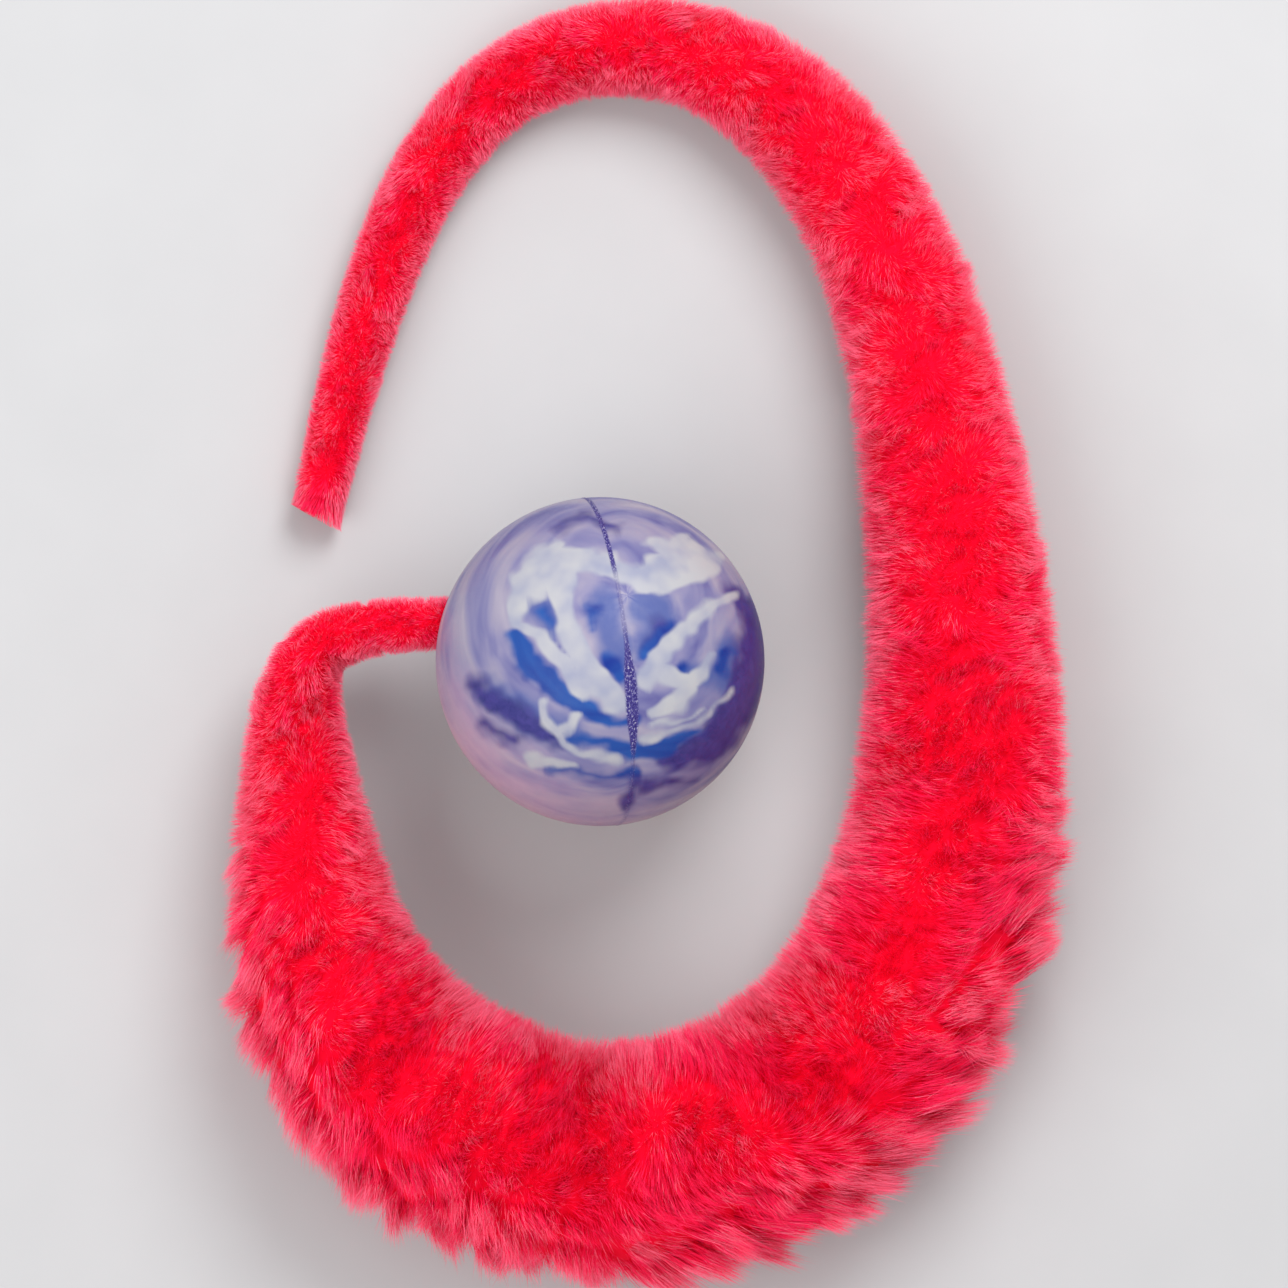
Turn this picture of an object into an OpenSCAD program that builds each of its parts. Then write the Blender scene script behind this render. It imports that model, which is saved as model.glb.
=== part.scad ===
// Bouncing ball with a long tapered chenille tail, lying on a flat surface.
// Millimetres, +Z up. The origin is on that surface, below the middle of the outline.

/* [Ball] */
// Diameter of the solid rubber ball
ball_d = 60; // [56:0.5:62]
// How far the trimmed parting line stands proud of the ball
flash_h = 0.12; // [0.05:0.01:0.3]
// Width of the parting line
flash_w = 0.7; // [0.4:0.1:1.2]
// Lean of the parting line's plane from upright, in degrees
flash_lean = 10; // [0:1:20]
// Turn of the parting line's plane about the vertical, in degrees
flash_turn = 6; // [0:1:20]

/* [Tail hole] */
// Diameter of the hole that the tail is glued into
hole_d = 5; // [4:0.1:7]
// Depth of the hole
hole_depth = 17; // [10:1:22]
// How far the glue stops short of the ball's surface
glue_recess = 0.8; // [0:0.1:2]
// Diameter of the cord where the glue grips it
gripped_d = 2.2; // [1.2:0.1:2.4]

/* [Tail] */
// Diameter of the twisted cord in the middle of the tail
core_d = 2.5; // [1.5:0.1:3]
// Radius of a pile length's domed ends, as a share of the pile's own radius
dome_ratio = 1.5; // [1.3:0.05:2]
// Clear gap between two pile lengths when the bend between them is sharpest
bend_gap = 0.4; // [0.3:0.1:1]
// Extra curl, past the bend that the tail lies with, that the gaps leave room for
curl_room = 4; // [0:1:6]
// Length of the fused tip that keeps the cord from fraying
tip_len = 2; // [1:0.5:3]

/* [Hidden] */
ball_at = [-8, -4, ball_d / 2];

// The tail's bend points, counted from the spot where the ball touches the surface:
// x, y, height of the cord, radius of the pile. The first is the mouth of the hole.
route = [
    [-28,   7, 21.5,  5.1],
    [-44,   7, 20.0,  5.3],
    [-56,   0, 19.0,  7.2],
    [-55, -30, 18.0, 13.0],
    [-49, -64, 18.0, 19.5],
    [-26, -86, 19.0, 22.0],
    [  5, -94, 19.0, 22.3],
    [ 37, -83, 19.5, 22.5],
    [ 58, -57, 18.5, 21.3],
    [ 68, -17, 16.5, 19.3],
    [ 64,  32, 13.5, 15.8],
    [ 55,  72, 11.5, 13.4],
    [ 38, 100, 10.5, 12.0],
    [ 15, 114,  8.5,  9.8],
    [-13, 111,  7.2,  8.4],
    [-32,  92,  6.3,  7.3],
    [-45,  59,  5.5,  6.4],
    [-52,  28,  4.3,  5.0]
];
lengths = len(route) - 1;
// Gap that keeps the first length of pile clear of the ball.
root_gap = 2.6;
// Straight steps in the outline of a dome.
dome_steps = 6;

function two_digits(i) = i < 10 ? str("0", i) : str(i);
function pile_name(i) = str("tail_pile_", two_digits(i));
function core_name(i) = str("tail_core_", two_digits(i));

function point(i) = [route[i].x + ball_at.x, route[i].y + ball_at.y, route[i].z];
function pile_r(i) = route[i][3];
function heading(i) = (point(i + 1) - point(i)) / norm(point(i + 1) - point(i));
function length_of(i) = norm(point(i + 1) - point(i));

// Half the gap at bend i: two domes that turn about the bend point stay clear of each other.
function bend_angle(i) = acos(heading(i - 1) * heading(i)) + curl_room;
function dome_r(i) = dome_ratio * pile_r(i);
function half_gap(i) = (dome_r(i) + bend_gap / 2) / cos(bend_angle(i) / 2) - dome_r(i);
function start_gap(i) = i == 0 ? root_gap : half_gap(i);
function end_gap(i) = i == lengths - 1 ? 0 : half_gap(i + 1);

mouth = point(0);
inward = (ball_at - mouth) / norm(ball_at - mouth);

// Puts its children at a point, with their +Z along a direction.
module along(start, direction) {
    translate(start)
        rotate([0, acos(direction.z), atan2(direction.y, direction.x)])
            children();
}

// Outline of the dome at bend i, from the cord out to the rim: distance out, distance back.
function dome(i) =
    let (first = asin(core_d / 2 / dome_r(i)), last = asin(1 / dome_ratio))
    [
        for (k = [0:dome_steps])
            let (a = first + (last - first) * k / dome_steps)
            dome_r(i) * [sin(a), 1 - cos(a)]
    ];

function pile_outline(i) = concat(
    [for (p = dome(i)) [p.x, start_gap(i) + p.y]],
    [
        for (k = [dome_steps:-1:0])
            let (p = dome(i + 1)[k])
            [p.x, length_of(i) - end_gap(i) - p.y]
    ]
);

// One straight length of pile: a taper between two domes, pressed flat where it rests.
module pile_length(i) {
    intersection() {
        along(point(i), heading(i))
            rotate_extrude($fn = 64)
                polygon(pile_outline(i));
        translate([-200, -200, 0])
            cube([400, 400, 100]);
    }
}

module core_length(i) {
    tip = i == lengths - 1 ? tip_len : 0;
    along(point(i) + start_gap(i) * heading(i), heading(i))
        cylinder(h = length_of(i) - start_gap(i) - end_gap(i) - tip, d = core_d, $fn = 32);
}

module ball() {
    color([0.62, 0.64, 0.80])
        difference() {
            union() {
                translate(ball_at)
                    sphere(d = ball_d, $fn = 160);
                translate(ball_at)
                    rotate([0, 90 + flash_lean, flash_turn])
                        cylinder(h = flash_w, d = ball_d + 2 * flash_h, center = true, $fn = 160);
            }
            along(mouth - inward, inward)
                cylinder(h = hole_depth + 1, d = hole_d, $fn = 48);
        }
}

module tail_glue() {
    color([0.93, 0.90, 0.80])
        along(mouth + glue_recess * inward, inward)
            difference() {
                cylinder(h = hole_depth - glue_recess, d = hole_d, $fn = 48);
                translate([0, 0, -1])
                    cylinder(h = hole_depth + 2, d = gripped_d, $fn = 32);
            }
}

// The cord's first stretch: up the hole, past its mouth and out to the first bend.
module tail_core_root() {
    color([0.70, 0.05, 0.14]) {
        along(mouth + hole_depth * inward, -inward)
            cylinder(h = hole_depth + core_d / 4, d = gripped_d, $fn = 32);
        along(mouth, heading(0))
            cylinder(h = length_of(0) - end_gap(0), d = core_d, $fn = 32);
    }
}

module tail_pile_root() {
    color([0.93, 0.10, 0.24])
        pile_length(0);
}

module tail_pile(i) {
    color([0.93, 0.10, 0.24])
        pile_length(i);
}

module tail_core(i) {
    color([0.70, 0.05, 0.14])
        core_length(i);
}

module tail_tip() {
    color([0.55, 0.04, 0.10])
        along(point(lengths) - tip_len * heading(lengths - 1), heading(lengths - 1))
            cylinder(h = tip_len, d = core_d, $fn = 32);
}

ball();
tail_glue();
tail_core_root();
tail_pile_root();
for (i = [1:lengths - 1]) {
    tail_pile(i);
    tail_core(i);
}
tail_tip();
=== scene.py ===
import math
from types import SimpleNamespace

import bmesh
import bpy
import numpy as np
from mathutils import Matrix, Vector


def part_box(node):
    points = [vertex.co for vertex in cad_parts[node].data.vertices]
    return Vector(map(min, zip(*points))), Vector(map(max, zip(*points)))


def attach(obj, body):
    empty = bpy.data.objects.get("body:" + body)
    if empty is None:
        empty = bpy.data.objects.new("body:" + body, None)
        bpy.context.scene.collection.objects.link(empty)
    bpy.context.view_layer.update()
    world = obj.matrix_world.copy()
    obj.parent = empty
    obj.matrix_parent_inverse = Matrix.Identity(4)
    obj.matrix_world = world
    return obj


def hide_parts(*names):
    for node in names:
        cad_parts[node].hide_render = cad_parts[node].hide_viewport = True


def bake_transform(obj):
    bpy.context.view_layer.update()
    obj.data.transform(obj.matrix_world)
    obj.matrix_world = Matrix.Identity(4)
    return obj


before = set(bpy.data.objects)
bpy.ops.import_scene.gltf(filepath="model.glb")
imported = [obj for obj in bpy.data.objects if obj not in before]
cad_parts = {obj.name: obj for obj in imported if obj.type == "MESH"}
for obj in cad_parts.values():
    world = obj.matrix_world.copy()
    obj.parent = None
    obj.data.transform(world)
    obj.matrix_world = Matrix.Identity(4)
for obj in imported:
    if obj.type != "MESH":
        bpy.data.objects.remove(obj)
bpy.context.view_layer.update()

MM = 0.001

# ---------------------------------------------------------------- driving sizes, in metres

# The ball's middle and radius, from its own CAD node.
ball_low, ball_high = (Vector(corner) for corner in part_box("ball"))
BALL = (ball_low + ball_high) / 2
BALL_R = (ball_high.z - ball_low.z) / 2
# The trimmed parting line: how proud it stands, half its width, and the lean and the turn
# of its plane.
FLASH_H = 0.00012
FLASH_HALF_W = 0.00035
FLASH_LEAN = math.radians(10)
FLASH_TURN = math.radians(6)
TRIM_SEED = 5
# The hole that the tail is glued into.
HOLE_R = 0.0025
HOLE_DEPTH = 0.017

# The tail's bend points, as in part.scad: x and y from the ball's lowest point, the
# height of the cord, and the radius of the pile.
ROUTE = MM * np.array([
    (-28, 7, 21.5, 5.1),
    (-44, 7, 20.0, 5.3),
    (-56, 0, 19.0, 7.2),
    (-55, -30, 18.0, 13.0),
    (-49, -64, 18.0, 19.5),
    (-26, -86, 19.0, 22.0),
    (5, -94, 19.0, 22.3),
    (37, -83, 19.5, 22.5),
    (58, -57, 18.5, 21.3),
    (68, -17, 16.5, 19.3),
    (64, 32, 13.5, 15.8),
    (55, 72, 11.5, 13.4),
    (38, 100, 10.5, 12.0),
    (15, 114, 8.5, 9.8),
    (-13, 111, 7.2, 8.4),
    (-32, 92, 6.3, 7.3),
    (-45, 59, 5.5, 6.4),
    (-52, 28, 4.3, 5.0),
]) + (BALL.x, BALL.y, 0, 0)
BENDS = range(1, len(ROUTE) - 1)

# ---------------------------------------------------------------- small helpers


def unit(v):
    return v / np.linalg.norm(v, axis=-1, keepdims=True)


def smooth(low, high, x):
    """A soft step that is 0 up to low and 1 from high on."""
    t = np.clip((x - low) / (high - low), 0, 1)
    return t * t * (3 - 2 * t)


# ---------------------------------------------------------------- camera

# Straight down on the curl, which just overfills the frame from top to bottom.
VIEW_W = 0.2349
LENS = 500.0
SENSOR = 36.0
VIEW_PLANE_Z = BALL_R
VIEW_Y = -0.0008


def add_camera():
    data = bpy.data.cameras.new("camera")
    data.lens = LENS
    data.sensor_width = SENSOR
    camera = bpy.data.objects.new("camera", data)
    bpy.context.scene.collection.objects.link(camera)
    camera.location = (0.0, VIEW_Y, VIEW_PLANE_Z + VIEW_W * LENS / SENSOR)
    bpy.context.scene.camera = camera


add_camera()

# ---------------------------------------------------------------- material helpers


class Graph:
    """A material's node tree, with short ways to add the nodes it needs."""

    def __init__(self, name):
        self.material = bpy.data.materials.new(name)
        self.material.use_nodes = True
        self.tree = self.material.node_tree
        self.shader = self.tree.nodes["Principled BSDF"]

    def add(self, kind, inputs, **settings):
        node = self.tree.nodes.new(kind)
        for key, value in settings.items():
            setattr(node, key, value)
        for key, value in inputs.items():
            self.feed(node.inputs[key], value)
        return node

    def feed(self, socket, value):
        """Links the socket to another one, or gives it a plain value."""
        if isinstance(value, bpy.types.NodeSocket):
            self.tree.links.new(value, socket)
        else:
            socket.default_value = value

    def shade(self, **inputs):
        """Feeds the main shader; a space in an input's name is written as _."""
        for key, value in inputs.items():
            self.feed(self.shader.inputs[key.replace("_", " ")], value)

    def layer(self, name):
        """A layer painted on the mesh."""
        return self.add("ShaderNodeAttribute", {}, attribute_name=name).outputs["Vector"]

    def parts(self, name):
        """The three numbers in a layer painted on the mesh."""
        return self.add("ShaderNodeSeparateXYZ", {0: self.layer(name)}).outputs

    def place(self):
        return self.add("ShaderNodeTexCoord", {}).outputs["Object"]

    def math(self, operation, a, b=0.0):
        return self.add("ShaderNodeMath", {0: a, 1: b}, operation=operation).outputs[0]

    def vector(self, operation, a, b=(0, 0, 0), scale=1.0):
        node = self.add("ShaderNodeVectorMath", {0: a, 1: b}, operation=operation)
        if operation == "SCALE":
            self.feed(node.inputs["Scale"], scale)
        return node.outputs["Value" if operation == "DOT_PRODUCT" else "Vector"]

    def noise(self, place, scale, detail=3.0, roughness=0.5, distortion=0.0):
        node = self.add(
            "ShaderNodeTexNoise",
            {"Vector": place, "Scale": scale, "Detail": detail, "Roughness": roughness,
             "Distortion": distortion},
        )
        return node.outputs["Fac"]

    def between(self, value, low, high, to_low=0.0, to_high=1.0):
        """Goes softly from to_low to to_high as the value goes from low to high."""
        node = self.add(
            "ShaderNodeMapRange",
            {0: value, 1: low, 2: high, 3: to_low, 4: to_high},
            interpolation_type="SMOOTHSTEP",
        )
        return node.outputs[0]

    def mix(self, share, a, b):
        node = self.add("ShaderNodeMix", {"Factor": share}, data_type="RGBA")
        self.feed(node.inputs[6], a)
        self.feed(node.inputs[7], b)
        return node.outputs[2]

    def ramp(self, value, stops):
        node = self.add("ShaderNodeValToRGB", {"Fac": value})
        elements = node.color_ramp.elements
        while len(elements) < len(stops):
            elements.new(0.5)
        for element, (at, colour) in zip(elements, stops):
            element.position = at
            element.color = colour
        return node.outputs["Color"]

    def bump(self, height, distance, strength=1.0):
        node = self.add(
            "ShaderNodeBump", {"Height": height, "Distance": distance, "Strength": strength}
        )
        return node.outputs["Normal"]


def rgb(r, g, b):
    """A colour given as it looks on screen, 0 to 255, turned into scene light."""
    def linear(c):
        c /= 255
        return c / 12.92 if c <= 0.04045 else ((c + 0.055) / 1.055) ** 2.4
    return (linear(r), linear(g), linear(b), 1.0)


# ---------------------------------------------------------------- floor and light


def floor_material():
    g = Graph("floor")
    speckle = g.noise(g.place(), 40.0, detail=4.0)
    g.shade(
        Base_Color=g.mix(speckle, (0.47, 0.47, 0.48, 1), (0.51, 0.51, 0.52, 1)),
        Roughness=0.7,
    )
    return g.material


def add_floor():
    mesh = bpy.data.meshes.new("floor")
    side = 3.0
    corners = [(-side, -side, 0), (side, -side, 0), (side, side, 0), (-side, side, 0)]
    mesh.from_pydata(corners, [], [(0, 1, 2, 3)])
    mesh.materials.append(floor_material())
    floor = bpy.data.objects.new("floor", mesh)
    bpy.context.scene.collection.objects.link(floor)


def add_softbox(name, place, aim, size, watts):
    data = bpy.data.lights.new(name, "AREA")
    data.shape = "DISK"
    data.size = size
    data.energy = watts
    lamp = bpy.data.objects.new(name, data)
    bpy.context.scene.collection.objects.link(lamp)
    lamp.location = place
    direction = Vector(aim) - Vector(place)
    lamp.rotation_euler = direction.to_track_quat("-Z", "Y").to_euler()


def add_light():
    """A key light from behind and a little right, a wide fill opposite, and an even sky."""
    add_softbox("key", place=(0.20, 0.50, 0.65), aim=(0, 0, 0), size=0.5, watts=5.2)
    add_softbox("fill", place=(-0.60, -0.35, 0.75), aim=(0, 0, 0), size=0.9, watts=4.4)
    world = bpy.data.worlds.new("studio")
    world.use_nodes = True
    sky = world.node_tree.nodes["Background"].inputs
    sky["Color"].default_value = (1, 1, 1, 1)
    sky["Strength"].default_value = 0.76
    bpy.context.scene.world = world
    bpy.context.scene.view_settings.view_transform = "Standard"


add_floor()
add_light()

# ---------------------------------------------------------------- ball

# The poured colours of the upper half, each streak as points (x, y, half-width) in mm from
# the middle of the ball as seen from above.
WHITE_STREAKS = [
    [(-7.4, 17.5, 2.7), (-6.5, 9, 2.1), (-4, 2, 2.3), (-0.5, -4, 2.6), (3.4, -7.4, 2.0)],
    [(-15.2, 7, 1.3), (-10, 4, 1.3), (-6.5, -0.5, 1.5), (-3, -5, 1.8)],
    [(-15, 8, 1.7), (-14.4, 14.5, 2.2), (-10.5, 18.5, 2.4), (-7.6, 21.5, 1.2)],
    [(-12, 14, 2.9), (-9.5, 17, 2.8)],
    [(-7, 18.3, 2.4), (-2.5, 18.4, 2.3), (2, 17.6, 2.1), (5, 15.6, 1.8), (8.5, 15, 2.4)],
    [(8.5, 15, 2.4), (12, 16.5, 4.0), (17, 18, 3.6), (20.5, 18, 2.2)],
    [(9.5, 22, 1.3), (12, 20, 2), (15, 21.6, 1.5)],
    [(24, 12, 0.9), (20, 10, 1.1), (17.4, 7.6, 1.6), (14, 4.5, 1.7), (10.5, 0.5, 2.0),
     (8.4, -3.4, 1.5)],
    [(11, -1.8, 2.1), (14.6, -3.6, 1.9), (17.5, -3.6, 1.3), (20.3, 1.3, 1.0)],
    [(16.5, -5, 1.4), (13.8, -7.4, 1.6), (9.6, -9.8, 1.1)],
    [(-9.8, -7.5, 0.8), (-9.4, -11, 1.1), (-6.2, -14.5, 1.0), (-2.5, -16.9, 0.8),
     (3.5, -17.6, 0.5)],
    [(-4.8, -10.2, 0.8), (-5.4, -12.2, 0.9), (-8, -12.6, 0.9)],
    [(8, -13.9, 0.5), (14, -12.2, 0.7), (20, -9.5, 0.6), (24, -5, 0.4)],
    [(9, -11.8, 0.5), (14, -10.6, 0.6), (18.5, -8.6, 0.4)],
    [(-13, -17.6, 0.9), (-5, -19.2, 0.7)],
]
BLUE_STREAKS = [
    [(-15.6, 4.8, 1.3), (-13.6, 0.4, 1.9), (-9, -3.9, 2.1), (-4, -7.6, 1.7), (2, -10.6, 1.2),
     (6, -11, 0.7)],
    [(-5.5, -13.2, 0.7), (0, -14.8, 1.1), (6, -16.2, 1.7), (12, -15.2, 1.6), (17.5, -12.8, 1.0)],
    [(-9, -19.4, 0.3), (0, -20.6, 0.6), (6.5, -20.2, 0.6)],
    [(-1.2, 9.4, 1.0), (-1.3, 5.8, 0.8)],
    [(1.4, 0.8, 0.9), (4.0, -2.6, 1.5)],
    [(13.0, 6.6, 0.9), (11.0, 4.2, 1.8), (7.8, 0.8, 1.1)],
    [(-10.8, 9.0, 0.2), (-8.6, 6.6, 0.1)],
    [(15.2, -0.2, 0.7), (14.6, -0.9, 0.5)],
    [(21.5, -1.5, 1.2), (23, 1.5, 0.8)],
]
INDIGO_STREAKS = [
    [(-22, -4.4, 1.3), (-18, -8, 2.0), (-12, -11.3, 1.6), (-7, -15, 0.6)],
    [(-21, -11.6, 0.6), (-15, -14.4, 1.0)],
    [(29.5, 10, 3.6), (29.5, 0, 4.6), (26, -8, 3.6), (20, -15, 3.0), (12, -18.4, 1.2)],
    [(-8, 24.4, 0.3), (-2, 26.6, 0.7), (3, 24, 0.3)],
    [(24, 13.4, 0.4), (27, 9.6, 1.6)],
    [(8, -22.4, 0.7), (17, -21.6, 0.5)],
    [(5, -26.5, 0.7), (6.4, -19.8, 0.5)],
    [(10.8, 6, 1.2), (8.4, 1.4, 0.8)],
]
# Where the blue shows through the others like haze.
HAZE_STREAKS = [
    [(0.6, 9.5, 3.0), (2.6, 2.0, 2.6), (4.4, -3.0, 1.6)],
    [(8.6, 10, 3.2), (11.0, 7.0, 2.8), (8.0, 2.0, 2.0)],
    [(-11, 9.5, 1.8), (-8.4, 5.6, 1.2)],
    [(-20, -5.5, 2.2), (-12, -10.5, 2.6), (-4, -14, 1.6)],
    [(16, -1.5, 1.6), (22, -3, 2.2), (23, 3, 1.6)],
]
# How strongly the poured colours reflect, against colours given as seen in full light.
BALL_TONE = 0.54
# The streaks nest round this direction, like rings round a drop.
RING_POLE = Vector((5, 12, 27)).normalized()
# The side of the ball that turns pink: pink rubber, brightened there as painted light on the
# ball's shaded lower edge.
PINK_AND_PAINTED_LIGHT_SIDE = (-0.62, -0.66, -0.42)
# How far round the streaks of the lower half are turned from those of the upper half.
LOWER_TURN = math.radians(160)


def seam_frame():
    """The direction that the parting line's plane faces, and two directions in the plane."""
    turn = Matrix.Rotation(FLASH_TURN, 3, "Z") @ Matrix.Rotation(math.pi / 2 + FLASH_LEAN, 3, "Y")
    axis = np.array(turn @ Vector((0, 0, 1)))
    across = unit(np.cross(axis, (0.0, 0.0, 1.0)))
    return axis, across, np.cross(axis, across)


def inside_streaks(x, y, streaks):
    """How far each place is inside the nearest streak, in mm; negative is outside."""
    best = np.full(len(x), -99.0)
    for streak in streaks:
        for (x0, y0, r0), (x1, y1, r1) in zip(streak, streak[1:]):
            dx, dy = x1 - x0, y1 - y0
            t = np.clip(((x - x0) * dx + (y - y0) * dy) / (dx * dx + dy * dy), 0, 1)
            gap = np.hypot(x - x0 - t * dx, y - y0 - t * dy)
            best = np.maximum(best, r0 + t * (r1 - r0) - gap)
    return best


def streak_map(place, colours):
    """How far inside each colour's streaks the places are, in mm from the ball's middle. The
    lower half has the same streaks turned round, and the two halves melt together at the sides."""
    x, y, z = place.T
    wave = 0.6 * np.sin(x * 0.61 + 0.9) * np.sin(y * 0.53) + 0.2 * np.sin(x * 1.37 + y * 1.13)
    sway = 0.6 * np.sin(y * 0.67 + 2.1) * np.sin(x * 0.43 + 1) + 0.2 * np.sin(x * 1.21 - y * 1.51)
    below = (
        x * math.cos(LOWER_TURN) - y * math.sin(LOWER_TURN) + 2 * sway,
        x * math.sin(LOWER_TURN) + y * math.cos(LOWER_TURN) + 2 * wave,
    )
    upper = smooth(-7, 5, z)
    return np.stack([
        upper * inside_streaks(x + wave, y + sway, streaks)
        + (1 - upper) * inside_streaks(*below, streaks)
        for streaks in colours
    ], axis=1)


def flow_map(place, seam_gap):
    """Long thin marbling runs along rings round the pole and dips into a V at the seam. It
    is made of another pour on each side of the seam, so the noise is read far apart there."""
    dip, dip_width, other_pour = 2.2, 3.0, 40.0
    along_scale, across_scale = 1.3, 0.17
    pole = np.array(RING_POLE)
    first = unit(np.cross(pole, (0.0, 0.0, 1.0)))
    second = np.cross(pole, first)
    direction = unit(place)
    ring = np.arccos(np.clip(direction @ pole, -1, 1)) * BALL_R / MM
    around = np.arctan2(direction @ second, direction @ first)
    ring = ring + dip * np.exp(-np.abs(seam_gap) / dip_width)
    ring = ring + np.where(seam_gap > 0, other_pour, 0.0)
    turns = [along_scale * np.cos(around), along_scale * np.sin(around)]
    return np.stack(turns + [ring * across_scale], axis=1)


def streak_share(g, inside, ragged, raggedness, low, high, most=1.0):
    """How strongly a streak covers the rubber, from how far inside its ragged edge it is."""
    depth = g.math("ADD", inside, g.math("MULTIPLY", ragged, raggedness))
    return g.between(depth, low, high, 0.0, most)


def marbled_colour(g, place, broad, fine):
    """Lavender marbling, pink with painted light on one side, with haze and the poured streaks
    over it.
    """
    white, blue, indigo = g.parts("streaks")
    haze = g.parts("haze_and_width")[0]
    thin = g.noise(g.layer("flow"), 1.0, detail=2.5, roughness=0.45, distortion=0.6)
    ragged = g.math(
        "ADD", g.between(broad, 0.3, 0.7, -0.7, 0.7), g.between(fine, 0.3, 0.7, -0.05, 0.05)
    )
    colour = g.ramp(thin, [
        (0.28, rgb(108, 104, 182)),
        (0.40, rgb(144, 142, 200)),
        (0.50, rgb(170, 165, 210)),
        (0.62, rgb(192, 184, 214)),
        (0.76, rgb(214, 204, 224)),
    ])
    # Pink rubber toward the lower side, brightened to lift the shaded edge there: partly painted
    # light.
    toward = g.vector("DOT_PRODUCT", g.vector("SUBTRACT", place, tuple(BALL)), PINK_AND_PAINTED_LIGHT_SIDE)
    toward = g.math("ADD", g.math("DIVIDE", toward, BALL_R), g.between(broad, 0, 1, -0.2, 0.2))
    colour = g.mix(g.between(toward, 0.1, 1.0, 0.0, 0.88), colour, rgb(244, 206, 230))
    hazy = streak_share(g, haze, ragged, 1.0, -2.0, 1.6, most=0.9)
    colour = g.mix(hazy, colour, rgb(92, 112, 192))
    indigo_pour = g.ramp(fine, [(0.35, rgb(44, 40, 140)), (0.65, rgb(74, 64, 164))])
    colour = g.mix(streak_share(g, indigo, ragged, 1.0, -1.5, 1.1, most=0.92), colour, indigo_pour)
    blue_pour = g.ramp(thin, [(0.35, rgb(0, 52, 168)), (0.65, rgb(44, 104, 200))])
    colour = g.mix(streak_share(g, blue, ragged, 0.8, -1.1, 0.7), colour, blue_pour)
    white_pour = g.ramp(broad, [
        (0.36, rgb(190, 194, 222)),
        (0.50, rgb(212, 213, 228)),
        (0.64, rgb(226, 226, 232)),
    ])
    return g.mix(streak_share(g, white, ragged, 0.4, -0.55, 0.65), colour, white_pour)


def with_parting_line(g, colour):
    """The trimmed rubber along the parting line: dark, with painted glints, white specks of
    painted highlight, where it is bold.
    """
    gap, along, bold = g.parts("seam")
    width = g.parts("haze_and_width")[1]
    stretched = g.add("ShaderNodeCombineXYZ", {0: g.math("MULTIPLY", gap, 1.6), 1: along})
    # White specks along the line stand in for the sparkle of the trimmed edge: painted highlights.
    painted_glint = g.noise(stretched.outputs[0], 1.9, detail=3.0, roughness=0.7)
    trimmed_and_painted_glints = g.ramp(painted_glint, [
        (0.42, rgb(52, 40, 130)),
        (0.56, rgb(96, 86, 176)),
        (0.66, rgb(226, 222, 244)),
    ])
    near = g.math("SUBTRACT", 1.0, g.between(
        g.math("ABSOLUTE", gap),
        g.math("ADD", g.math("MULTIPLY", width, 0.6), 0.25),
        g.math("ADD", g.math("MULTIPLY", width, 0.8), 0.6),
    ))
    return g.mix(g.math("MULTIPLY", near, bold), colour, trimmed_and_painted_glints)


def ball_material():
    g = Graph("ball_rubber")
    place = g.place()
    broad = g.noise(place, 140.0, detail=2.0, roughness=0.5)
    fine = g.noise(place, 520.0, detail=5.0, roughness=0.6, distortion=0.6)
    colour = with_parting_line(g, marbled_colour(g, place, broad, fine))
    g.shade(
        Base_Color=g.vector("SCALE", colour, scale=BALL_TONE),
        Roughness=g.between(fine, 0.2, 0.8, 0.34, 0.5),
        Normal=g.bump(fine, 0.00005, 0.5),
        Specular_IOR_Level=0.25,
    )
    return g.material


def trimmed_edge(longitude):
    """How much of the parting line the trimming left, 0.1 to 1, at places round the ball."""
    rng = np.random.default_rng(TRIM_SEED)
    nicks = sum(
        rng.uniform(0.4, 1) * np.sin(k * longitude + rng.uniform(0, 6.3))
        for k in (3, 7, 23, 61, 97, 149)
    )
    return 0.55 + 0.45 * np.clip(nicks / 1.6, -1, 1)


def ball_shell():
    """A sphere whose equator is the trimmed parting line: its points and faces."""
    around = 600
    # Degrees from the parting line, closest together beside it.
    rows = np.r_[0, 0.25, 0.5, 0.7, 0.95, 1.4, np.arange(2.2, 89, 1.5)]
    latitude = np.radians(np.r_[-rows[:0:-1], rows])
    longitude = np.linspace(0, 2 * math.pi, around, endpoint=False)
    trim = trimmed_edge(longitude)
    axis, across, third = seam_frame()
    ridge = np.clip(1 - np.abs(latitude) * BALL_R / FLASH_HALF_W, 0, 1)
    direction = (
        np.sin(latitude)[:, None, None] * axis
        + np.cos(latitude)[:, None, None]
        * (np.cos(longitude)[None, :, None] * across + np.sin(longitude)[None, :, None] * third)
    )
    out = BALL_R + FLASH_H * ridge[:, None] * trim[None, :]
    points = (direction * out[..., None]).reshape(-1, 3)
    points = np.concatenate([points, [-axis * BALL_R, axis * BALL_R]]) + np.array(BALL)
    index = np.arange(len(latitude) * around).reshape(-1, around)
    turn = np.roll(index, -1, axis=1)
    quads = np.stack([index[:-1], turn[:-1], turn[1:], index[1:]], axis=-1).reshape(-1, 4)
    south, north = len(points) - 2, len(points) - 1
    caps = [(b, a, south) for a, b in zip(index[0], turn[0])]
    caps += [(a, b, north) for a, b in zip(index[-1], turn[-1])]
    return points, quads.tolist() + [tuple(map(int, cap)) for cap in caps]


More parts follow.
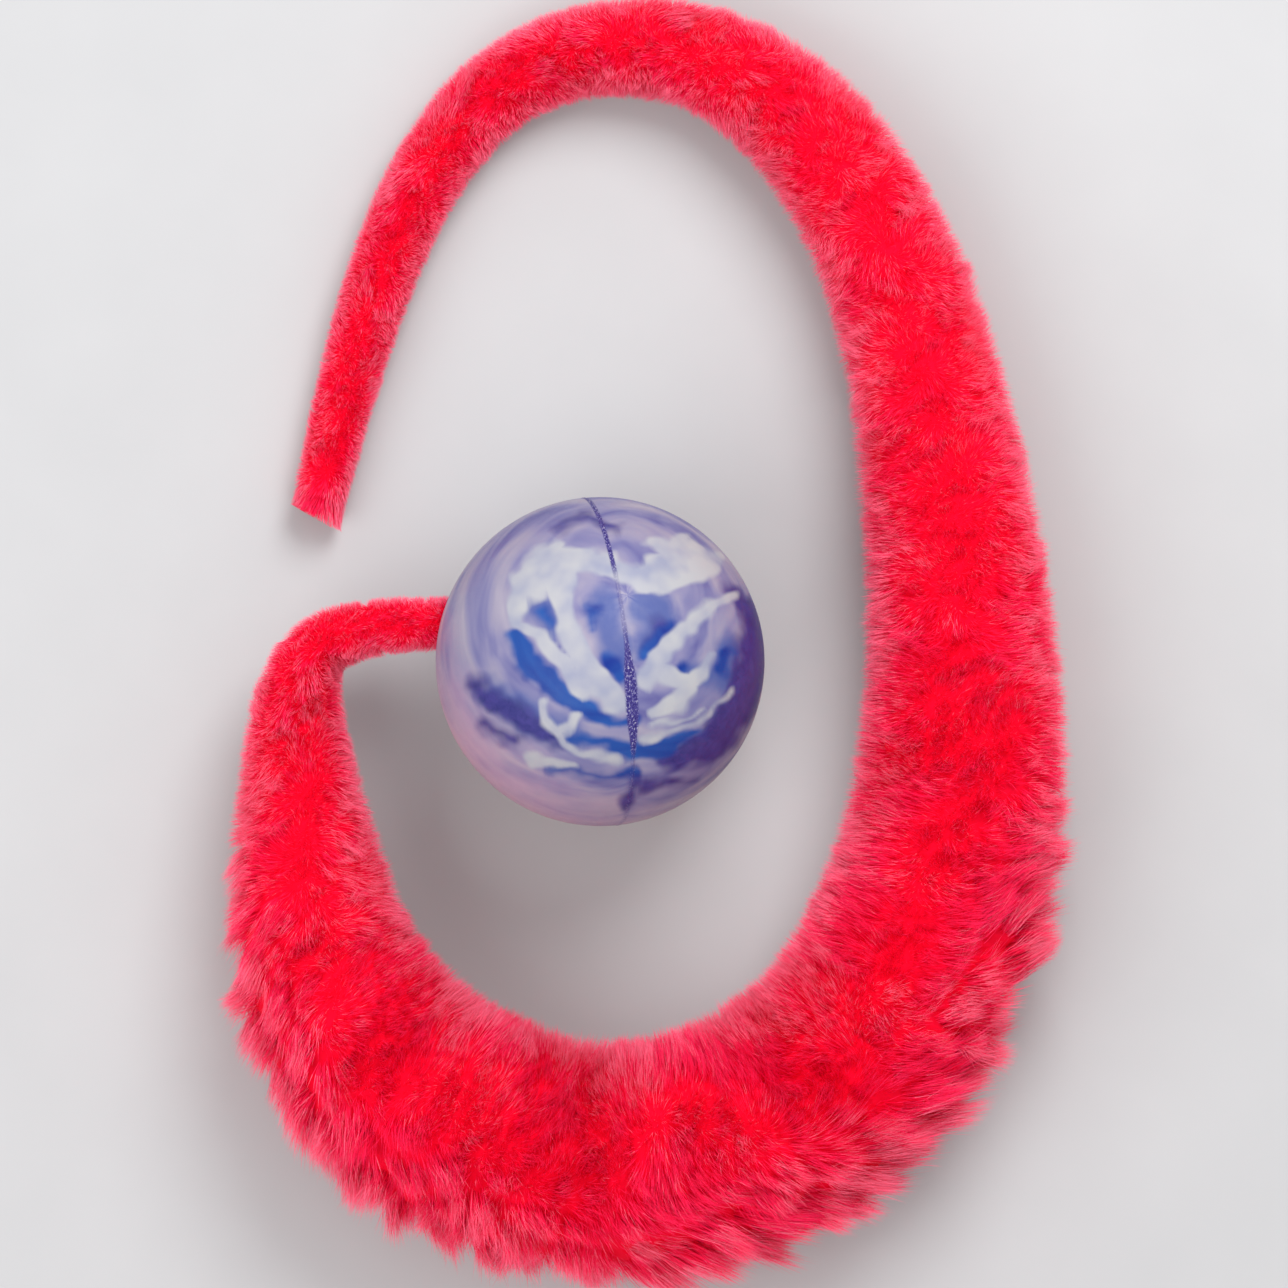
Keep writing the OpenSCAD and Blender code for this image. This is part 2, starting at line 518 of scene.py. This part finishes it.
def drill(ball):
    """Cuts the hole that the tail is glued into."""
    mouth = Vector(ROUTE[0, :3])
    inward = (BALL - mouth).normalized()
    spare = 0.002
    bm = bmesh.new()
    bmesh.ops.create_cone(
        bm, cap_ends=True, segments=48, radius1=HOLE_R, radius2=HOLE_R, depth=HOLE_DEPTH + spare
    )
    middle = mouth + inward * (HOLE_DEPTH - spare) / 2
    bm.transform(Matrix.Translation(middle) @ inward.to_track_quat("Z", "Y").to_matrix().to_4x4())
    mesh = bpy.data.meshes.new("drill")
    bm.to_mesh(mesh)
    bm.free()
    cutter = bpy.data.objects.new("drill", mesh)
    bpy.context.scene.collection.objects.link(cutter)
    cut = ball.modifiers.new("hole", "BOOLEAN")
    cut.object = cutter
    cut.operation = "DIFFERENCE"
    cut.solver = "EXACT"
    graph = bpy.context.evaluated_depsgraph_get()
    drilled = bpy.data.meshes.new_from_object(ball.evaluated_get(graph))
    ball.modifiers.clear()
    ball.data = drilled
    bpy.data.objects.remove(cutter)


def paint_layer(mesh, name, values):
    layer = mesh.attributes.new(name, "FLOAT_VECTOR", "POINT")
    layer.data.foreach_set("vector", values.astype(np.float32).ravel())


def seam_marks(place):
    """For places in mm: how far they are from the parting line's plane, how far along the
    line, how bold the line is there (0.25 to 1), and how much wider than elsewhere (0 to 1)."""
    axis, across, third = seam_frame()
    gap = place @ axis
    along = np.arctan2(place @ third, place @ across) * BALL_R / MM
    y = place[:, 1]
    above = place[:, 2] > 0
    low_part = smooth(-18, -15, y) * (1 - smooth(1, 9, y))
    bold = np.where(above, np.maximum(low_part, smooth(15, 18, y)), 0.5)
    wide = np.where(above, smooth(-17, -9, y) * (1 - smooth(-4, 4, y)), 0)
    return gap, along, 0.25 + 0.75 * bold, wide


def paint(mesh):
    """Stores the marbling and the seam at every point, for the material to draw from."""
    points = np.empty(len(mesh.vertices) * 3, np.float32)
    mesh.vertices.foreach_get("co", points)
    place = (points.reshape(-1, 3).astype(float) - np.array(BALL)) / MM
    gap, along, bold, wide = seam_marks(place)
    haze = streak_map(place, [HAZE_STREAKS])[:, 0]
    paint_layer(mesh, "streaks", streak_map(place, [WHITE_STREAKS, BLUE_STREAKS, INDIGO_STREAKS]))
    paint_layer(mesh, "haze_and_width", np.stack([haze, wide, 0 * wide], axis=1))
    paint_layer(mesh, "flow", flow_map(place, gap))
    paint_layer(mesh, "seam", np.stack([gap, along, bold], axis=1))


def add_ball():
    points, faces = ball_shell()
    mesh = bpy.data.meshes.new("marbled_ball")
    mesh.from_pydata(points.tolist(), [], faces)
    mesh.materials.append(ball_material())
    mesh.polygons.foreach_set("use_smooth", np.ones(len(mesh.polygons), bool))
    ball = bpy.data.objects.new("marbled_ball", mesh)
    bpy.context.scene.collection.objects.link(ball)
    drill(ball)
    paint(ball.data)
    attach(ball, "ball")
    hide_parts("ball")


add_ball()

# ---------------------------------------------------------------- the tail's line


def tail_line(steps=40):
    """A smooth curve that touches each straight length at its middle: x, y, z, pile radius."""
    middles = (ROUTE[1:] + ROUTE[:-1]) / 2
    starts = [ROUTE[0]] + list(middles[1:-1])
    ends = list(middles[1:-1]) + [ROUTE[-1]]
    rows = [ROUTE[0]]
    joins = [0]
    for start, corner, end in zip(starts, ROUTE[1:-1], ends):
        for t in np.linspace(0, 1, steps + 1)[1:]:
            rows.append((1 - t) ** 2 * start + 2 * t * (1 - t) * corner + t * t * end)
        joins.append(len(rows) - 1)
    rows = np.array(rows)
    stations = np.r_[0, np.cumsum(np.linalg.norm(np.diff(rows[:, :3], axis=0), axis=1))]
    return rows, stations, stations[joins]


LINE, STATION, JOINS = tail_line()
TAIL_LEN = STATION[-1]
TANGENT = np.gradient(LINE[:, :3], STATION, axis=0)
TANGENT /= np.linalg.norm(TANGENT, axis=1)[:, None]


def at(table, s):
    """A table along the tail, read at distances s from the ball."""
    return np.stack([np.interp(s, STATION, column) for column in table.T], axis=-1)


def around_tail(s, angle):
    """Places on the cord, the pile's radius, and the outward directions at the angles.
    Angle 0 faces the inside of the curl, 90 degrees faces up and 180 faces outside."""
    row = at(LINE, s)
    along = unit(at(TANGENT, s))
    side = unit(np.cross((0.0, 0.0, 1.0), along))
    up = np.cross(along, side)
    out = np.cos(angle)[:, None] * side + np.sin(angle)[:, None] * up
    return row[:, :3], row[:, 3], out, along


def waves(rng, count, longest, shortest, most_turns):
    """A smooth random field over distance and angle, about -1 to 1."""
    terms = [
        (rng.uniform(0.4, 1), 2 * math.pi / rng.uniform(shortest, longest),
         rng.integers(-most_turns, most_turns + 1), rng.uniform(0, 2 * math.pi))
        for _ in range(count)
    ]
    size = math.sqrt(sum(t[0] ** 2 for t in terms) / 2) * 1.6

    def field(s, angle):
        return sum(a * np.sin(k * s + m * angle + p) for a, k, m, p in terms) / size
    return field


# ---------------------------------------------------------------- plush

SEED = 11
# Fibres per square metre where the tail is thin and where it is thick, and the radii of the
# pile between which one turns into the other.
FIBRES_THIN = 1.4e7
FIBRES_THICK = 7.2e6
THINNING = (0.006, 0.014)
# The radii between which the pile starts to part along its top and becomes loose.
LOOSENING = (0.012, 0.020)
# Where fibres start, as a share of the pile's radius, and where between there and the
# pile's surface they bow.
ROOT_SHARE = 0.55
BOW_SHARE = 0.55
# A fibre's length as a share of the pile's radius, how much of it the ordinary fibres vary
# by and the odd short ones lose, and the least and the most that it can be.
LENGTH = 1.03
LENGTH_SPREAD = 0.020
SHORT_BY = 0.16
LENGTH_RANGE = (0.75, 1.24)
# How far single fibres stray, and how much their shades vary.
STRAY = 0.08
SHADE_SPREAD = 0.32
# A fibre's rows of points, as shares of its length; its half-width at the first three, as a
# share of that at the root; that half-width in thin pile; and what loose pile adds to it.
FIBRE_ROWS = (0.0, 0.4, 0.75, 1.0)
FIBRE_TAPER = (1.0, 0.95, 0.6)
FIBRE_HALF_W = 0.000056
LOOSE_EXTRA_W = 0.000022
FIBRE_SHADES = [
    rgb(244, 0, 34), rgb(248, 0, 50), rgb(251, 6, 70), rgb(254, 40, 96), rgb(255, 112, 144),
]
# The usual shade of each of a fibre's five triangles, from the root up, as a place in the
# list above, and how much lighter each is painted on the flanks of the tail, as painted rim light.
SHADE_UP = (0.8, 1.4, 1.9, 2.5, 2.9)
FLANK_PAINTED_LIGHT = (0, 0, 0, 0.8, 1.0)
# How far the pile leans along the tail, in broad and in fine waves, and round the tail; and
# how much more the short fibres of the thin ends lean along it.
BROAD_LEAN = 0.16
FINE_LEAN = 0.12
SIDE_LEAN = 0.18
THIN_TOUSLE = 2.4
# Small tufts all over, and large ones that make the pointed locks: how far apart they are
# along the tail, and how many go round it.
TUFT_STEP, TUFTS_ROUND = 0.0036, 28
LOCK_STEP, LOCKS_ROUND = 0.0075, 18
# How strongly fibres gather into a lock, and the weakest of them beside the strongest.
LOCK_PULL = 0.88
WEAKEST_PULL = 0.35
# Locks fade in and out between these distances along the tail, and between these shares of
# the way round it from the inside of the curl to the outside.
LOCKS_START = (0.045, 0.075)
LOCKS_END = (0.235, 0.275)
LOCKS_SIDE = (0.42, 0.96)
# How far forward along the tail the locks lean, as a share of their reach: distance along
# the tail, lean.
LOCK_LEAN = [(0.060, 0.5), (0.110, 0.6), (0.135, 0.1), (0.170, 0.8), (0.210, 0.8), (0.260, 0.3)]
# The free end: how far its last fibres splay past the cord's end and over what length, how
# far past the end they are cut, the slant of the cut, and the length that the cut can reach.
END_SPLAY = 0.0045
END_SPLAY_LEN = 0.009
CUT_BACK = 0.0016
CUT_SLANT = 0.30
END_REGION = 0.012
# Short dents in the pile: distance along the tail, the side that they face (0 inside the
# curl, 90 up, 180 outside), half-width, and depth as a share of the pile's radius.
NOTCHES = [
    (0.0040, 180, 0.0004, 0.26),
    (0.0068, 180, 0.0004, 0.32),
    (0.0145, 180, 0.0004, 0.24),
    (0.0125, 0, 0.0004, 0.30),
    (0.0250, 180, 0.0005, 0.18),
    (0.2740, 180, 0.0006, 0.20),
    (0.2960, 0, 0.0005, 0.14),
    (0.3340, 0, 0.0006, 0.16),
    (0.5020, 180, 0.0005, 0.26),
    (0.5120, 180, 0.0005, 0.22),
]


def fibre_material(i, colour):
    g = Graph("plush_fibre_%d" % i)
    g.shade(
        Base_Color=colour,
        Roughness=0.6,
        Specular_IOR_Level=0.12,
    )
    return g.material


def scatter(rng):
    """Where the fibres grow: distance along the tail and angle round it."""
    radius = LINE[:, 3]
    thick = smooth(*THINNING, radius)
    density = (FIBRES_THIN + (FIBRES_THICK - FIBRES_THIN) * thick) * 2 * math.pi * radius
    total = np.r_[0, np.cumsum((density[1:] + density[:-1]) / 2 * np.diff(STATION))]
    count = int(total[-1])
    s = np.interp(rng.uniform(0, total[-1], count), total, STATION)
    angle = rng.uniform(0, 2 * math.pi, count)
    return s, angle


def tufts(rng, s, angle, radius, step, columns):
    """The tuft that each fibre belongs to, the nearest point of a jittered grid: its
    middle, how far out of it the fibre stands, and three random numbers of its own, for its
    lean, its shade and its length."""
    rows = int(TAIL_LEN / step) + 3
    shift = 0.42
    jitter = rng.uniform(-shift, shift, (rows, columns, 2))
    a = s / step
    b = angle / (2 * math.pi) * columns
    best = np.full(len(s), np.inf)
    found = np.zeros((len(s), 2), int)
    centre = np.zeros((len(s), 2))
    for i in (-1, 0, 1):
        for j in (-1, 0, 1):
            ci = np.clip(np.floor(a).astype(int) + i, 0, rows - 1)
            cj = np.floor(b).astype(int) + j
            column = cj % columns
            ca = ci + 0.5 + jitter[ci, column, 0]
            cb = cj + 0.5 + jitter[ci, column, 1]
            width = 2 * math.pi * radius / columns / step
            gap = (ca - a) ** 2 + ((cb - b) * width) ** 2
            nearer = gap < best
            best[nearer] = gap[nearer]
            found[nearer] = np.stack([ci, column], 1)[nearer]
            centre[nearer] = np.stack([ca * step, cb / columns * 2 * math.pi], 1)[nearer]
    own = rng.normal(0, 1, (rows, columns, 3))[found[:, 0], found[:, 1]]
    return centre, np.sqrt(best), own


def settle(points):
    """Fibres that would reach into the floor lie over against it instead."""
    low = 0.003
    z = points[..., 2]
    points[..., 2] = np.where(z < low, low * np.exp((z - low) / low), z)
    return points


def clear_ball(points):
    """Fibres that would reach into the ball lie against it instead."""
    centre = np.array(BALL)
    offset = points - centre
    away = np.linalg.norm(offset, axis=-1, keepdims=True)
    clearance = 0.0001
    wall = BALL_R + clearance
    return np.where(away < wall, centre + offset / away * wall, points)


def cut_end(points, s):
    """The free end is cut off a little on the slant; s is where each point grows from."""
    end = LINE[-1, :3]
    along = TANGENT[-1]
    side = unit(np.cross((0.0, 0.0, 1.0), along))
    offset = points - end
    beyond = offset @ along - CUT_BACK - CUT_SLANT * (offset @ side)
    cut = (beyond > 0) & (s > TAIL_LEN - END_REGION)
    return np.where(cut[..., None], points - beyond[..., None] * along, points)


def wrapped(turn):
    """An angle brought to between -pi and pi."""
    return (turn + math.pi) % (2 * math.pi) - math.pi


def fall(turn):
    """How far pile at this angle from the parting falls to its own side."""
    crease, spread, most = 0.12, 0.9, 0.6
    turn = wrapped(turn)
    return np.tanh(turn / crease) * np.exp(-(turn / spread) ** 2) * most


def lay_out(rng):
    """Where every fibre grows, and the waves, tufts and locks that shape the pile."""
    s, angle = scatter(rng)
    place, radius, out, along = around_tail(s, angle)
    outside = (1 - np.cos(angle)) / 2
    lock = smooth(*LOCKS_SIDE, outside) * smooth(*LOCKS_START, s) * (1 - smooth(*LOCKS_END, s))
    return SimpleNamespace(
        s=s, angle=angle, place=place, radius=radius, out=out, along=along,
        loose=smooth(*LOOSENING, radius),
        lock=lock,
        lean_s=waves(rng, count=14, longest=0.060, shortest=0.012, most_turns=4),
        lean_a=waves(rng, count=14, longest=0.060, shortest=0.012, most_turns=4),
        fine_s=waves(rng, count=16, longest=0.012, shortest=0.004, most_turns=14),
        meander=waves(rng, count=8, longest=0.080, shortest=0.020, most_turns=0),
        tuft=tufts(rng, s, angle, radius, TUFT_STEP, TUFTS_ROUND),
        lock_tuft=tufts(rng, s, angle, radius, LOCK_STEP, LOCKS_ROUND),
    )


def lie(pile):
    """How far the lie of the pile pushes each tip along the tail and round it."""
    s, angle, loose = pile.s, pile.angle, pile.loose
    free = 1 - ROOT_SHARE
    reach = pile.radius * free
    own_lean = pile.lock_tuft[2][:, 0]
    tousle = THIN_TOUSLE - (THIN_TOUSLE - 1) * loose
    sway = BROAD_LEAN * pile.lean_s(s, angle) + FINE_LEAN * pile.fine_s(s, angle)
    push_s = reach * tousle * sway
    push_s += reach * pile.lock * (0.20 * own_lean + np.interp(s, *np.transpose(LOCK_LEAN)))
    push_s += END_SPLAY * smooth(TAIL_LEN - END_SPLAY_LEN, TAIL_LEN, s)
    parting = math.pi / 2 + 0.55 * pile.meander(s, 0 * s)
    parted = loose * (0.45 + 0.25 * pile.meander(s * 0.7 + 0.2, 0 * s))
    push_a = free * (SIDE_LEAN * pile.lean_a(s, angle) + parted * fall(angle - parting))
    return push_s, push_a


def find_tips(rng, pile):
    """How far along and round the tail each tip is: over its root, pushed by the lie of the
    pile, and gathered into its tuft and its lock. Also how keenly each fibre gathers."""
    s, angle = pile.s, pile.angle
    free = 1 - ROOT_SHARE
    reach = pile.radius * free
    push_s, push_a = lie(pile)
    gather = rng.uniform(WEAKEST_PULL, 1, len(s))
    small = 0.20 + 0.12 * pile.loose
    big = LOCK_PULL * pile.lock * gather
    tuft_s, tuft_a = pile.tuft[0].T
    lock_s, lock_a = pile.lock_tuft[0].T
    tip_s = s + push_s + small * (tuft_s - s) + big * (lock_s - s)
    tip_a = angle + push_a + small * (tuft_a - angle) + big * (lock_a - angle)
    stray = rng.normal(0, 1, (len(s), 2))
    tip_s += reach * STRAY * stray[:, 0]
    tip_a += free * STRAY * stray[:, 1]
    return tip_s, tip_a, gather


def find_lengths(rng, pile, gather):
    """How far out each tip is, as a share of the pile's radius."""
    count = len(pile.s)
    tuft_length = pile.tuft[2][:, 2]
    lock_length = pile.lock_tuft[2][:, 2]
    lock_point = 0.23 + 0.07 * lock_length - 0.32 * pile.lock_tuft[1] - 0.14 * (1 - gather)
    length = LENGTH + 0.014 * tuft_length + pile.lock * lock_point
    length += rng.normal(0, LENGTH_SPREAD, count) - SHORT_BY * rng.uniform(0, 1, count) ** 3
    length = np.clip(length, *LENGTH_RANGE)
    for middle, facing, half_width, depth in NOTCHES:
        turn = np.abs(wrapped(pile.angle - math.radians(facing)))
        near = np.exp(-((pile.s - middle) / half_width) ** 2) * (1 - smooth(0.7, 1.3, turn))
        length -= depth * near
    return length


def find_spines(rng, pile):
    """The bowed middle line of every fibre, at its rows, and the root-to-tip directions."""
    tip_s, tip_a, gather = find_tips(rng, pile)
    length = find_lengths(rng, pile, gather)
    on_tail = np.clip(tip_s, 0, TAIL_LEN)
    tip_place, tip_radius, tip_out, _ = around_tail(on_tail, tip_a)
    overshoot = (tip_s - on_tail)[:, None] * pile.along
    root = pile.place + pile.out * (pile.radius * ROOT_SHARE)[:, None]
    tip = tip_place + overshoot + tip_out * (tip_radius * length)[:, None]
    bow = ROOT_SHARE + BOW_SHARE * (1 - ROOT_SHARE)
    middle = pile.place + pile.out * (pile.radius * bow)[:, None]
    t = np.array(FIBRE_ROWS)[None, :, None]
    spine = (1 - t) ** 2 * root[:, None] + 2 * t * (1 - t) * middle[:, None] + t * t * tip[:, None]
    return cut_end(clear_ball(settle(spine)), pile.s[:, None]), tip - root


def make_blades(rng, pile):
    """Every fibre's seven points: pairs at the first three rows, and the tip."""
    spine, rise = find_spines(rng, pile)
    count = len(spine)
    across = unit(np.cross(rise, rng.normal(0, 1, (count, 3))))
    half_width = (FIBRE_HALF_W + LOOSE_EXTRA_W * pile.loose)[:, None, None]
    half = half_width * np.array(FIBRE_TAPER)[None, :, None]
    points = np.empty((count, 7, 3), np.float32)
    points[:, 0:6:2] = spine[:, :3] - across[:, None] * half
    points[:, 1:6:2] = spine[:, :3] + across[:, None] * half
    points[:, 6] = spine[:, 3]
    return points


def choose_shades(rng, pile):
    """The shade of each of a fibre's triangles, which gets lighter up the fibre; thin pile and the
    flanks of the tail are painted lighter, as painted light.
    """
    tuft_shade = pile.tuft[2][:, 1]
    tone = rng.normal(0, SHADE_SPREAD, len(pile.s))
    tone += 0.3 * pile.lean_a(pile.s * 1.3, pile.angle)
    tone += 0.2 * tuft_shade
    # Thin pile is painted lighter: painted light.
    tone += 0.4 * (1 - pile.loose)
    # Fibres on the flanks, seen side on, are painted lighter: painted rim light.
    flank = np.cos(pile.angle) ** 2
    shades = np.array(SHADE_UP)[None] + np.array(FLANK_PAINTED_LIGHT)[None] * flank[:, None]
    shades = np.clip(np.round(shades + tone[:, None]), 0, len(FIBRE_SHADES) - 1)
    return shades.astype(np.int32)


def grow():
    """Every fibre as a thin tapering blade: where each grows, its points and its shades."""
    rng = np.random.default_rng(SEED)
    pile = lay_out(rng)
    points = make_blades(rng, pile)
    return pile.s, points, choose_shades(rng, pile)


# A blade's five triangles, as places in its seven points.
BLADE = np.array([(0, 1, 3), (0, 3, 2), (2, 3, 5), (2, 5, 4), (4, 5, 6)], np.int32)


def mesh_from_arrays(name, points, faces, shades, materials):
    """A new object; shades, when given, holds each face's place in the materials."""
    mesh = bpy.data.meshes.new(name)
    mesh.vertices.add(len(points))
    mesh.vertices.foreach_set("co", points.astype(np.float32).ravel())
    mesh.loops.add(faces.size)
    mesh.loops.foreach_set("vertex_index", faces.astype(np.int32).ravel())
    mesh.polygons.add(len(faces))
    sides = faces.shape[1]
    mesh.polygons.foreach_set("loop_start", np.arange(0, faces.size, sides, dtype=np.int32))
    for material in materials:
        mesh.materials.append(material)
    if shades is not None:
        mesh.polygons.foreach_set("material_index", shades.ravel())
    mesh.polygons.foreach_set("use_smooth", np.ones(len(faces), bool))
    mesh.update(calc_edges=True)
    piece = bpy.data.objects.new(name, mesh)
    bpy.context.scene.collection.objects.link(piece)
    return piece


def bend_with(piece):
    """Bakes the piece's placement into its points."""
    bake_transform(piece)


def add_plush():
    s, points, shades = grow()
    materials = [fibre_material(i, colour) for i, colour in enumerate(FIBRE_SHADES)]
    owner = np.clip(np.searchsorted(JOINS, s, side="right"), 1, len(BENDS))
    for i in BENDS:
        mine = owner == i
        count = int(mine.sum())
        faces = BLADE[None] + 7 * np.arange(count, dtype=np.int32)[:, None, None]
        piece = mesh_from_arrays(
            "plush_%02d" % i,
            points[mine].reshape(-1, 3),
            faces.reshape(-1, 3),
            shades[mine],
            materials,
        )
        bend_with(piece)
        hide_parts(*(["tail_pile_root"] if i == 1 else []), "tail_pile_%02d" % i)


add_plush()

# ---------------------------------------------------------------- plush ground


def ground_material():
    g = Graph("plush_ground")
    patch = g.noise(g.place(), 900.0, detail=4.0, roughness=0.65)
    g.shade(
        Base_Color=g.mix(patch, rgb(234, 0, 34), rgb(242, 2, 52)),
        Roughness=0.9,
        Specular_IOR_Level=0.1,
    )
    return g.material


def add_ground():
    """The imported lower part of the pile, an opaque tube that the fibres stand out of."""
    material = ground_material()
    rng = np.random.default_rng(SEED + 1)
    lumps = waves(rng, count=40, longest=0.006, shortest=0.002, most_turns=12)
    sides = 40
    ring_step = 0.0012
    rounding = 0.003
    packed, more_where_thick, lumpiness = 0.72, 0.09, 0.035
    for i in BENDS:
        first, last = JOINS[i - 1], JOINS[i]
        rings = int((last - first) / ring_step) + 2
        s = np.repeat(np.linspace(first, last, rings), sides)
        angle = np.tile(np.linspace(0, 2 * math.pi, sides, endpoint=False), rings)
        place, radius, out, _ = around_tail(s, angle)
        past = smooth(0, rounding, s - (TAIL_LEN - rounding))
        closing = np.sqrt(np.clip(1 - past ** 2, 0.01, 1))
        share = packed + more_where_thick * smooth(0.008, 0.018, radius)
        share = (share + lumpiness * lumps(s, angle)) * closing
        points = cut_end(clear_ball(settle(place + out * (radius * share)[:, None])), s)
        index = np.arange(rings * sides, dtype=np.int32).reshape(rings, sides)
        turn = np.roll(index, -1, axis=1)
        faces = np.stack([index[:-1], turn[:-1], turn[1:], index[1:]], axis=-1).reshape(-1, 4)
        piece = mesh_from_arrays("plush_ground_%02d" % i, points, faces, None, [material])
        bend_with(piece)


add_ground()

# ---------------------------------------------------------------- cord, glue and fused tip


def cord_material():
    """Two-ply yarn: stripes that wind round the cord, over a fine fibrous grain."""
    g = Graph("tail_cord")
    place = g.place()
    grain = g.noise(place, 2600.0, detail=3.0)
    ply = g.add(
        "ShaderNodeTexWave",
        {"Vector": place, "Scale": 420.0, "Distortion": 3.0, "Detail": 2.0, "Detail Scale": 2.0},
        bands_direction="DIAGONAL",
    ).outputs["Fac"]
    shade = g.math("MULTIPLY", ply, g.between(grain, 0.2, 0.8, 0.6, 1.0))
    g.shade(
        Base_Color=g.mix(shade, rgb(150, 0, 26), rgb(214, 8, 50)),
        Roughness=0.85,
        Normal=g.bump(shade, 0.0002),
    )
    return g.material


def glue_material():
    g = Graph("hot_glue")
    cloud = g.noise(g.place(), 300.0, detail=3.0)
    g.shade(
        Base_Color=g.mix(cloud, rgb(226, 216, 186), rgb(244, 240, 224)),
        Roughness=g.between(cloud, 0.2, 0.8, 0.2, 0.4),
        Normal=g.bump(cloud, 0.0002, 0.4),
    )
    return g.material


def fused_material():
    g = Graph("fused_tip")
    blister = g.noise(g.place(), 1200.0, detail=2.0)
    g.shade(
        Base_Color=g.mix(blister, rgb(96, 0, 16), rgb(160, 4, 34)),
        Roughness=g.between(blister, 0.2, 0.8, 0.18, 0.4),
        Normal=g.bump(blister, 0.0003, 0.6),
    )
    return g.material


def dress(node, material):
    """Gives a CAD node that is shown as packed its material."""
    piece = bpy.data.objects[node]
    piece.data.materials.clear()
    piece.data.materials.append(material)


def dress_cord():
    cord = cord_material()
    for node in ["tail_core_root"] + ["tail_core_%02d" % i for i in BENDS]:
        dress(node, cord)
    dress("tail_glue", glue_material())
    dress("tail_tip", fused_material())


dress_cord()
